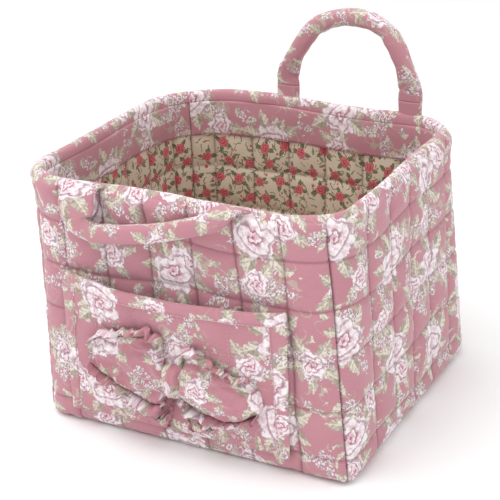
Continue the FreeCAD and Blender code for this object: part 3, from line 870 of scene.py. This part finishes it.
def handle_line(side):
    """The handle's centre line from root to root, how many of its points are a strap's, and the
    places of its two straps."""
    rim, tube = JOINTS[f"{side}_handle_rim_fold"], JOINTS[f"{side}_handle_tube_fold"]
    boxes = [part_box(f"{side}_handle_{end}_end") for end in ("left", "right")]
    places = [(low.x + high.x) / 2 for low, high in boxes]
    left, right = places
    low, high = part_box(f"{side}_handle_cover")
    radius = (high.y - low.y) / 2
    settings = HANDLES[side]
    plane = tube.y + settings["hug"]
    if side == "front":
        reach = -(tube.z - low.z - radius)
        begin = tube.z - STRAP_SINK - STRAP_RISE
        straps = [folded_strap(x, slant, rim, plane, begin) for x, slant in zip(places, settings["slant"])]
    else:
        reach = high.z - radius - tube.z
        begin = tube.z
        straps = [standing_strap(x, rim, tube) for x in places]
    plan = [(left + (right - left) * share, tube.z + reach * drop) for share, drop in settings["loop"]]
    middle = [(x, plane, z) for x, z in rounded_line([(left, begin), *plan, (right, begin)])]
    return np.array(straps[0] + middle + straps[1][::-1]), len(straps[0]), places


def handle_directions(side, centre, run, away, strap_length):
    """Along the handle, across its width and out of its flat side. The width lies along the wall at
    the straps and turns with the loop after them."""
    tangent = unit(np.gradient(centre, axis=0))
    facing = 1 if side == "front" else -1
    flat = np.where(run < run[-1] / 2, facing, -facing)[:, None] * np.array([[1.0, 0, 0]])
    share = smooth_step((away - strap_length) / HANDLES[side]["ease"])[:, None]
    wide = unit(flat * (1 - share) + np.cross(tangent, (0, 1, 0)) * share)
    return tangent, wide, unit(np.cross(wide, tangent))


def handle_swell(side, run, away, strap_length, angle, tangent, wide):
    """How much each point of the handle swells: lumps, creases, puckers inside its bends, gathers."""
    seed, shape = HANDLES[side]["seed"], (len(run), AROUND)
    ring = 7 * MM * np.cos(angle), 7 * MM * np.sin(angle)
    place = np.stack(np.broadcast_arrays(run[:, None], *ring), axis=2).reshape(-1, 3)
    lumps = 0.05 * wobble(place, 22 * MM, seed).reshape(shape)
    creases = wobble(place * np.array([1.0, 0.35, 0.35]), 6 * MM, seed + 1).reshape(shape)
    bend = np.gradient(tangent, axis=0)
    curvature = np.linalg.norm(bend, axis=1) / np.gradient(run)
    inside = np.sign(np.sum(wide * bend, axis=1))[:, None] * np.cos(angle)
    pucker = 0.05 * creases * smooth_step(inside) * np.clip(curvature / 12, 0, 1)[:, None]
    gather = 0.05 * np.cos(9 * angle + 3 * creases) * bell(away - strap_length - 6 * MM, 11 * MM)[:, None]
    return 1 + lumps + pucker + gather + 0.012 * creases


def handle(side):
    """Two flat straps and one padded tube, swept as one cloth and parted in the middle of each strap."""
    line, left_count, places = handle_line(side)
    steps = travelled(line)
    total, strap_length = steps[-1], steps[left_count]
    count = round(total / (1.4 * MM))
    centre = evenly(line, count)
    run = np.linspace(0, total, count)
    away = np.minimum(run, total - run)  # distance from the nearer strap root
    free = (smooth_step((away - strap_length) / (5 * MM)) * 0.25)[1:-1, None]
    for _ in range(LINE_SMOOTHING):
        centre[1:-1] += free * (centre[:-2] - 2 * centre[1:-1] + centre[2:])
    tangent, wide, normal = handle_directions(side, centre, run, away, strap_length)
    angle = np.linspace(0, FULL_TURN, AROUND, endpoint=False)
    swell = handle_swell(side, run, away, strap_length, angle, tangent, wide)
    full = smooth_step((away - strap_length + 6 * MM) / (30 * MM))[:, None]
    settings = HANDLES[side]
    half_sizes = [flat + (tube - flat) * full for flat, tube in zip(settings["strap"], settings["tube"])]
    half_sizes[0] += settings["gathered"] * bell(run - strap_length - 9 * MM, 20 * MM)[:, None]
    rings = centre[:, None]
    for way, wave, half in zip((wide, normal), (np.cos(angle), np.sin(angle)), half_sizes):
        rings = rings + way[:, None] * (squared_off(wave, 0.8) * half * swell)[..., None]
    uvs = np.stack(np.broadcast_arrays(angle * 8 * MM, run[:, None]), axis=2) + settings["cloth"]
    cut = strap_length / 2 + STRAP_CUT
    first, last = (int(np.searchsorted(run, place)) for place in (cut, total - cut))
    handle_parts(side, rings, uvs, first, last, places)


def handle_parts(side, rings, uvs, first, last, places):
    """The straps and the loop as plain meshes."""
    left, right = places
    parts = [
        (f"{side}_handle_left_strap", 0, first, [f"{side}_handle_left_end"], left),
        (f"{side}_handle_right_strap", last, len(rings) - 1, [f"{side}_handle_right_end"], right),
        (f"{side}_handle_loop", first, last, [f"{side}_handle_cover", f"{side}_handle_core"], None),
    ]
    for name, begin, end, nodes, x in parts:
        points = rings[begin : end + 1].reshape(-1, 3)
        faces = tube_faces(end + 1 - begin, AROUND)
        piece = make_object(name, points, faces, uvs[begin : end + 1].reshape(-1, 2))
        face_outward(piece.data)
        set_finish(piece, "rose_print")
        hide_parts(*nodes)
        if x is None and side == "front":
            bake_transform(piece)
        elif x is None:
            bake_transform(piece)
        elif side == "front":
            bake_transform(piece)
        else:
            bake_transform(piece)


# ---- stitches ----

STITCH_PITCH, STITCH_LENGTH, STITCH_HALF = 3.4 * MM, 2.6 * MM, 0.32 * MM
STITCH_RINGS = ((0.0, 0.35), (0.18, 1.0), (0.82, 1.0), (1.0, 0.35))  # shares of its length and half width


def away_from_middle(point):
    """Straight out through the wall that is nearest to a point."""
    x, y = point[0] - RIM_SHIFT[0] / 2, point[1] - RIM_SHIFT[1] / 2
    if abs(x) * RIM_HALF[1] > abs(y) * RIM_HALF[0]:
        return np.array([math.copysign(1, x), 0, 0])
    return np.array([0, math.copysign(1, y), 0])


def stitches(name, lines, facing, finish):
    """Short rounded dashes of thread along lines of points. facing: 1 on a wall's outer side, -1 inside."""
    points, faces = [], []
    for line in lines:
        steps = travelled(line)
        for begin in np.arange(0, steps[-1] - STITCH_LENGTH, STITCH_PITCH):
            places = (begin, begin + STITCH_LENGTH)
            start, end = np.array([np.interp(places, steps, values) for values in line.T]).T
            along = unit(end - start)
            side = unit(np.cross(along, facing * away_from_middle(start)))
            out = np.cross(side, along)
            base = len(points)
            for share, size in STITCH_RINGS:
                middle = start + (end - start) * share + out * (0.3 * MM)
                for corner in range(4):
                    turn = math.pi / 2 * corner + math.pi / 4
                    way = side * math.cos(turn) + out * math.sin(turn)
                    points.append(middle + STITCH_HALF * size * way)
            faces += [tuple(base + corner for corner in face) for face in tube_faces(len(STITCH_RINGS), 4)]
    piece = make_object(name, points, faces)
    face_outward(piece.data)
    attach(piece, "basket")
    piece.data.materials.append(finish)


# ---- shader arithmetic ----


class Value:
    """A number in a shader's node tree. Arithmetic on it adds the nodes that work it out."""

    def __init__(self, tree, socket):
        self.tree = tree
        self.socket = socket


def feed(node, inputs):
    """Links or sets a node's inputs, each to a Value or to a constant."""
    for name, item in inputs.items():
        if isinstance(item, Value):
            item.tree.links.new(item.socket, node.inputs[name])
        else:
            node.inputs[name].default_value = item


def add_node(tree, kind, output, inputs, **settings):
    """One output of a new shader node."""
    node = tree.nodes.new("ShaderNode" + kind)
    for name, setting in settings.items():
        setattr(node, name, setting)
    feed(node, inputs)
    return Value(tree, node.outputs[output])


def tree_of(items):
    return next(item.tree for item in items if isinstance(item, Value))


def calc(operation, *items):
    """A math node on values and constants."""
    return add_node(tree_of(items), "Math", 0, dict(enumerate(items)), operation=operation)


def operator(operation, swapped=False):
    """A method of Value for one arithmetic sign."""
    if swapped:
        return lambda self, other: calc(operation, other, self)
    return lambda self, other: calc(operation, self, other)


Value.__add__ = Value.__radd__ = operator("ADD")
Value.__mul__ = Value.__rmul__ = operator("MULTIPLY")
Value.__sub__ = operator("SUBTRACT")
Value.__rsub__ = operator("SUBTRACT", swapped=True)
Value.__truediv__ = operator("DIVIDE")
Value.__lt__ = operator("LESS_THAN")
Value.__gt__ = operator("GREATER_THAN")
sine = partial(calc, "SINE")
cosine = partial(calc, "COSINE")
size_of = partial(calc, "ABSOLUTE")
floor_of = partial(calc, "FLOOR")
fraction = partial(calc, "FRACT")


def ramp(x, low, high):
    """0 below low, 1 above high, smooth between."""
    inputs = {"Value": x, "From Min": low, "From Max": high}
    return add_node(x.tree, "MapRange", "Result", inputs, interpolation_type="SMOOTHSTEP")


def vector(*parts):
    return add_node(tree_of(parts), "CombineXYZ", 0, dict(enumerate(parts)))


def noise(x, y, size, seed, detail=2.0):
    """Smooth noise from 0 to 1 with features about size across."""
    inputs = {"Vector": vector(x / size, y / size, float(seed)), "Scale": 1.0, "Detail": detail}
    return add_node(x.tree, "TexNoise", 0, inputs)


def blend_colours(share, first, second):
    """A colour between two colours."""
    first, second = (item if isinstance(item, Value) else (*item, 1.0) for item in (first, second))
    return add_node(share.tree, "Mix", 2, {"Factor": share, 6: first, 7: second}, data_type="RGBA")


def linear(part):
    """A display value up to 255 as a linear one up to 1."""
    return part / 255 / 12.92 if part < 11 else ((part / 255 + 0.055) / 1.055) ** 2.4


def colour(red, green, blue):
    """A display colour as a linear one."""
    return linear(red), linear(green), linear(blue)


def polar(x, y):
    return calc("SQRT", x * x + y * y), calc("ARCTAN2", y, x)


def scatter(u, v, tile, seed, jitter):
    """Where a point lies in its tile of a half-drop repeat, turned at random, and two random numbers
    of the tile."""
    column = floor_of(u / tile)
    moved = v + calc("FLOORED_MODULO", column, 2.0) * (0.5 * tile)
    row = floor_of(moved / tile)
    random = add_node(u.tree, "TexWhiteNoise", "Color", {"Vector": vector(column, row, float(seed))})
    chance, spin, kind = (add_node(u.tree, "SeparateColor", index, {0: random}) for index in range(3))
    x = u - (column + 0.5) * tile - (spin - 0.5) * jitter
    y = moved - (row + 0.5) * tile - (kind - 0.5) * jitter
    turn = spin * FULL_TURN
    return x * cosine(turn) + y * sine(turn), y * cosine(turn) - x * sine(turn), chance, kind


# ---- the flowers of the prints ----

# A rose: its light and tinted petals, the lines between them, and the same lines and petals at its heart.
PETAL_WHITE = colour(246, 240, 241)
PETAL_SHADE = colour(158, 122, 136)
PALE_ROSE = (PETAL_WHITE, colour(226, 206, 214), PETAL_SHADE, colour(212, 152, 170), colour(166, 90, 112))
RED_PETALS = (colour(220, 132, 134), colour(206, 96, 104))
RED_ROSE = (*RED_PETALS, colour(176, 56, 70), colour(190, 62, 76), colour(130, 26, 42))

# Leaves: light, middle, dark.
LEAF_OLIVE = colour(190, 179, 162)
PALE_LEAF = (colour(228, 220, 206), LEAF_OLIVE, colour(118, 104, 88))
BUD_LEAF = (colour(160, 160, 122), colour(122, 130, 94), colour(84, 92, 66))
GREEN_LEAF = (colour(134, 142, 108), colour(92, 106, 74), colour(58, 70, 50))

GROUND = (colour(198, 142, 152), colour(188, 130, 141))
CREAM = (colour(228, 217, 196), colour(212, 198, 174))
# Painted shade: the dark colour laid into the cloth in the grooves along stitch lines, in creases and along
# the bow's edges.
PAINTED_CREASE_SHADE = colour(100, 52, 62)
THREAD_SHADE = (0.16, 0.06, 0.08)


def rose(x, y, radius, seed, palette):
    """(mask, colour) of a full rose: ragged outline, broken rings of petals, a deeper heart."""
    white, tinted, shade, middle, deep = palette
    bend = [(noise(x, y, 0.55 * radius, seed + extra, 1.0) - 0.5) * (0.7 * radius) for extra in (1, 2)]
    reach, turn = polar(x + bend[0], y + bend[1])
    reach = reach / radius
    ragged = noise(x, y, 0.2 * radius, seed, 3.0)
    outline = 0.82 + sine(turn * 5.0 + 1.3 * seed) * 0.08 + (ragged - 0.5) * 0.55
    mask = 1 - ramp(reach, outline - 0.03, outline + 0.02)
    winding = reach * 2.7 + sine(turn * 2.0 + reach * 5.0 + 0.7 * seed) * 0.3 - turn / FULL_TURN
    petal = fraction(winding + (ragged - 0.5) * 0.35)
    fold = ramp(petal, 0.04, 0.42) * (1 - ramp(petal, 0.9, 1.0))
    heart = 1 - ramp(reach, 0.1, 0.72)
    mottled = noise(x, y, 0.2 * radius, seed + 5, 3.0)
    face = blend_colours(ramp(mottled, 0.44, 0.62), white, tinted)
    face = blend_colours(heart * ramp(mottled, 0.38, 0.6) * 0.6, face, middle)
    line = blend_colours(heart, shade, deep)
    return mask, blend_colours((1 - fold) * (heart * 0.25 + 0.75), face, line)


def leaf(along, across, length, fullness, seed, tones=PALE_LEAF):
    """(mask, colour) of a leaf that starts at the origin and points along the first axis."""
    light, middle, dark = tones
    place = along / length
    within = (place > 0.0) * (place < 1.0)
    serration = sine(place * 30.0) * 0.09
    taper = calc("POWER", calc("MINIMUM", calc("MAXIMUM", place, 0.001), 1.0), 0.75)
    half = (sine(taper * math.pi) + serration) * (fullness * length) / (0.25 * length)
    mask = within * (1 - ramp(size_of(across) / (0.25 * length), half - 0.06, half + 0.04))
    mottled = noise(along, across, 0.2 * length, seed, 2.0)
    body = blend_colours(ramp(mottled, 0.36, 0.62), middle, light)
    veins = fraction((along - size_of(across) * 0.9) / (0.19 * length))
    body = blend_colours((1 - ramp(veins, 0.0, 0.34)) * 0.65, body, dark)
    body = blend_colours(ramp(across, -0.02 * length, 0.06 * length) * 0.35, body, dark)
    rib = 1 - ramp(size_of(across), 0.008 * length, 0.045 * length)
    return mask, blend_colours(rib * 0.8, body, light)


def leaf_ring(x, y, radius, count, length, spin, seed, tones=PALE_LEAF):
    """(mask, colour) of leaves that fan out from behind a rose."""
    reach, turn = polar(x, y)
    sector = (turn + spin * FULL_TURN) * (count / FULL_TURN)
    index = floor_of(sector)
    place = vector(calc("FLOORED_MODULO", index, float(count)), spin * 91.0, float(seed))
    chance = add_node(x.tree, "TexWhiteNoise", "Value", {"Vector": place})
    aside = (sector - index - 0.5) * (FULL_TURN / count) + (chance - 0.5) * 0.3
    along = reach * cosine(aside) - 0.62 * radius
    across = reach * sine(aside)
    mask, body = leaf(along, across, length * (chance * 0.35 + 0.7), 0.27, seed, tones)
    return mask * (chance > 0.16), body


def spray_flower(x, y, radius, seed):
    """(mask, colour) of a small torn flower with five petals and an olive centre."""
    reach, turn = polar(x, y)
    reach = reach / radius
    lobes = size_of(cosine(turn * 2.5))
    torn = noise(x, y, 1.6 * MM, seed, 2.0)
    mask = (1 - ramp(reach, 0.5 + lobes * 0.4, 0.62 + lobes * 0.42)) * ramp(torn, 0.3, 0.36)
    petals = blend_colours(ramp(torn, 0.38, 0.6) * 0.9, PETAL_WHITE, PETAL_SHADE)
    return mask, blend_colours(1 - ramp(reach, 0.14, 0.28), petals, LEAF_OLIVE)


def brush(u, v, size, most, seed, detail):
    """A small move by noise, so that printed edges look hand-painted."""
    return (noise(u, v, size, seed, detail) - 0.5) * most


def rose_print(u, v):
    """The outer print: roses and leaves in a half-drop repeat, sprays of small flowers between them."""
    moves = [brush(u, v, 2.4 * MM, 3.0 * MM, seed, 3.0) for seed in (21, 22)]
    u, v = u + moves[0], v + moves[1]
    tint = blend_colours(noise(u, v, 40 * MM, 23, 1.0), *GROUND)
    spray = noise(u, v, 26 * MM, 24, 1.0)
    stem = noise(u, v, 17 * MM, 25, 1.0)
    stem = (1 - ramp(size_of(stem - 0.5), 0.006, 0.016)) * ramp(spray, 0.44, 0.5)
    tint = blend_colours(stem * 0.8, tint, LEAF_OLIVE)
    x, y, chance, _ = scatter(u + 3 * MM, v, 14 * MM, 31, 3.5 * MM)
    mask, body = leaf(x + 7 * MM, y, 14.4 * MM, 0.27, 32)
    tint = blend_colours(mask * (chance > 0.3) * (spray > 0.49), tint, body)
    turned_u, turned_v = u * 0.87 - v * 0.5, u * 0.5 + v * 0.87
    small_x, small_y, small_chance, small_kind = scatter(turned_u, turned_v, 54 * MM, 41, 8 * MM)
    large_x, large_y, _, large_kind = scatter(u, v, 72 * MM, 51, 8 * MM)
    mask, body = leaf_ring(small_x, small_y, 11.5 * MM, 5, 18 * MM, small_kind, 42)
    tint = blend_colours(mask * (small_chance > 0.15), tint, body)
    mask, body = leaf_ring(large_x, large_y, 17 * MM, 6, 22 * MM, large_kind, 52)
    tint = blend_colours(mask, tint, body)
    x, y, chance, _ = scatter(turned_v, turned_u, 9.6 * MM, 61, 2.4 * MM)
    mask, flower = spray_flower(x, y, 5.2 * MM, 63)
    tint = blend_colours(mask * (chance > 0.3) * (spray > 0.55), tint, flower)
    mask, body = rose(small_x, small_y, 12.5 * MM, 43, PALE_ROSE)
    tint = blend_colours(mask * (small_chance > 0.15), tint, body)
    mask, body = rose(large_x, large_y, 19.5 * MM, 53, PALE_ROSE)
    return blend_colours(mask, tint, body)


def lining_print(u, v):
    """The lining print: red roses with green leaves, dark twigs and small buds on cream."""
    u = u + brush(u, v, 2.0 * MM, 1.8 * MM, 121, 2.0)
    v = v + brush(u, v, 2.0 * MM, 1.8 * MM, 122, 2.0)
    tint = blend_colours(noise(u, v, 26 * MM, 123, 2.0), *CREAM)
    x, y, chance, _ = scatter(u * 0.8 + v * 0.6, v * 0.8 - u * 0.6, 6.5 * MM, 141, 2.5 * MM)
    twig = (size_of(y + sine(x * 800.0) * (0.7 * MM)) < 0.32 * MM) * (size_of(x) < 3.4 * MM)
    tint = blend_colours(twig * (chance > 0.3), tint, colour(92, 72, 60))
    x, y, chance, kind = scatter(u, v, 9.5 * MM, 131, 4 * MM)
    mask, body = leaf(x + 3.4 * MM, y, 6.8 * MM, 0.2, 132, BUD_LEAF)
    tint = blend_colours(mask * (chance > 0.45), tint, body)
    bud = calc("SQRT", x * x + (y - 4 * MM) * (y - 4 * MM)) < kind * (0.9 * MM) + 0.7 * MM
    tint = blend_colours(bud * (chance > 0.3), tint, colour(196, 92, 100))
    x, y, chance, kind = scatter(u * 0.9 - v * 0.436, v * 0.9 + u * 0.436, 18.5 * MM, 151, 6 * MM)
    mask, body = leaf_ring(x, y, 5.2 * MM, 4, 7.6 * MM, kind, 152, GREEN_LEAF)
    tint = blend_colours(mask * (chance > 0.12), tint, body)
    mask, body = rose(x, y, 5.8 * MM, 153, RED_ROSE)
    return blend_colours(mask * (chance > 0.12), tint, body)


def wadding_cloth(u, v):
    return blend_colours(noise(u, v, 12 * MM, 9, 2.0), colour(240, 238, 232), colour(228, 226, 220))


# ---- materials ----


def new_material(name):
    """(material, its node tree, its shader)"""
    material = bpy.data.materials.new(name)
    material.use_nodes = True
    return material, material.node_tree, material.node_tree.nodes["Principled BSDF"]


def fabric(name, paint):
    """A woven cotton. paint(u, v) gives its colour from metres of cloth."""
    material, tree, shader = new_material(name)
    cloth = add_node(tree, "UVMap", 0, {}, uv_map="cloth")
    u, v = (add_node(tree, "SeparateXYZ", axis, {0: cloth}) for axis in (0, 1))
    tint = paint(u, v)
    # Painted shade: the seam attribute darkens the print towards a dark colour in the grooves along lines of
    # stitches and in the bow's creases and edges.
    seam = calc("POWER", add_node(tree, "Attribute", "Fac", {}, attribute_name="seam"), 2.5)
    tint = blend_colours(seam * 0.65, tint, PAINTED_CREASE_SHADE)
    threads = noise(u, v * 0.3, 0.7 * MM, 3, 1.0) * 0.5 + noise(u * 0.3, v, 0.7 * MM, 4, 1.0) * 0.5
    tint = blend_colours(ramp(threads, 0.3, 0.7) * 0.1, tint, THREAD_SHADE)
    weave = FULL_TURN / (0.72 * MM)
    relief = sine(u * weave) * sine(v * weave) * 0.25 + threads * 0.6 + noise(u, v, 9 * MM, 8, 3.0) * 2.2
    bumped = add_node(tree, "Bump", 0, {"Strength": 0.35, "Distance": 0.3 * MM, "Height": relief})
    feed(shader, {"Base Color": tint, "Roughness": 0.86 + (threads - 0.5) * 0.12, "Normal": bumped})
    feed(shader, {"Specular IOR Level": 0.22, "Sheen Weight": 0.25, "Sheen Roughness": 0.5})
    return material


def plain(name, tint, roughness):
    """A material without a cloth map, mottled by its place."""
    material, tree, shader = new_material(name)
    mottle = add_node(tree, "TexNoise", 0, {"Scale": 260.0})
    shade = blend_colours(mottle, tint, tuple(part * 0.8 for part in tint))
    feed(shader, {"Base Color": shade, "Roughness": roughness, "Specular IOR Level": 0.2})
    return material


# ---- building it ----

for wall in SIDES:
    outer_nodes = (f"outer_{wall}_panel", f"wadding_{wall}")
    stitch_lines[f"outer_{wall}"] = quilted_wall(wall, f"outer_{wall}_quilted", OUTER, outer_nodes)
    lining_nodes = (f"lining_{wall}",)
    stitch_lines[f"lining_{wall}"] = quilted_wall(wall, f"lining_{wall}_quilted", LINING, lining_nodes)
outer_floor()
quilted_floor()
rim_roll()
facing_strips()
pocket_panel()
pocket_side("pocket_left_strip", "pocket_left_binding", POCKET_LEFT, 1, 12 * MM, 7 * MM, 0.55)
pocket_side("pocket_right_strip", "pocket_right_binding", POCKET_RIGHT, -1, 12 * MM, 9 * MM, 0.83)
pocket_hem()
for lobe, settings in LOBES.items():
    bow_lobe(lobe, *settings)
bow_knot()
for side in HANDLES:
    handle(side)

cardboard = plain("cardboard", colour(176, 148, 112), 0.9)
finishes = {
    "rose_print": fabric("rose_cotton", rose_print),
    "lining_print": fabric("lining_cotton", lining_print),
    "wadding": fabric("wadding", wadding_cloth),
    "stiffener": cardboard,
}
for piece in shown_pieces():
    if piece.get("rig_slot") in finishes:
        piece.data.materials.clear()
        piece.data.materials.append(finishes[piece["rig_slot"]])
board = frame["nodes"]["base_board"]
board.data.materials.clear()
board.data.materials.append(cardboard)

rose_thread = plain("thread", colour(176, 104, 120), 0.7)
pale_thread = plain("pale_thread", colour(226, 176, 186), 0.7)
cream_thread = plain("cream_thread", colour(226, 214, 190), 0.7)
threads = {  # which way a group's stitches face, and their thread
    "outer": (1, rose_thread),
    "pocket": (1, pale_thread),
    "lining": (-1, cream_thread),
    "rim": (-1, rose_thread),
}
for group, lines in stitch_lines.items():
    stitches(f"stitches_{group}", lines, *threads[group.split("_")[0]])

# ---- floor, light and camera ----

scene = bpy.context.scene
bpy.ops.mesh.primitive_plane_add(size=8, location=(0, 0, 0))
ground = bpy.context.object
ground.name = "floor"
paper, _, paper_shader = new_material("floor_paper")
feed(paper_shader, {"Base Color": (0.96, 0.96, 0.96, 1), "Roughness": 0.9})
ground.data.materials.append(paper)

scene.world = bpy.data.worlds.new("studio")
scene.world.use_nodes = True
feed(scene.world.node_tree.nodes["Background"], {"Color": (1, 1, 1, 1), "Strength": 0.87})


def area_light(name, place, size, power):
    """A square light that faces the middle of the basket."""
    lamp = bpy.data.lights.new(name, "AREA")
    lamp.size = size
    lamp.energy = power
    light = bpy.data.objects.new(name, lamp)
    light.location = place
    middle = Vector((0, 0, RIM_TOP / 2))
    light.rotation_euler = (middle - Vector(place)).to_track_quat("-Z", "Y").to_euler()
    scene.collection.objects.link(light)


def photo_camera():
    """The photograph's camera. Its turn, rise and roll, its place in rim heights and its lens were
    fitted to the basket's corners in the photograph."""
    turn, rise, roll = math.radians(27.878), math.radians(23.673), math.radians(-1.78)
    back = Vector((math.sin(turn) * math.cos(rise), -math.cos(turn) * math.cos(rise), math.sin(rise)))
    right = Vector((math.cos(turn), math.sin(turn), 0))
    up = back.cross(right)
    across = right * math.cos(roll) + up * math.sin(roll)
    upward = up * math.cos(roll) - right * math.sin(roll)
    lens = bpy.data.cameras.new("photo")
    lens.lens = 106.0
    lens.sensor_width = 36.0
    lens.shift_x = -0.02035
    lens.shift_y = -0.00367
    lens.clip_start = 0.01
    camera = bpy.data.objects.new("photo", lens)
    place = Vector((2.456, -4.634, 2.87)) * RIM_TOP
    camera.matrix_world = Matrix.Translation(place) @ Matrix((across, upward, back)).transposed().to_4x4()
    scene.collection.objects.link(camera)
    scene.camera = camera


area_light("key", (-0.35, -0.35, 1.4), 1.4, 13)
area_light("fill", (1.3, -0.5, 0.7), 1.0, 1.4)
photo_camera()
scene.view_settings.view_transform = "Standard"
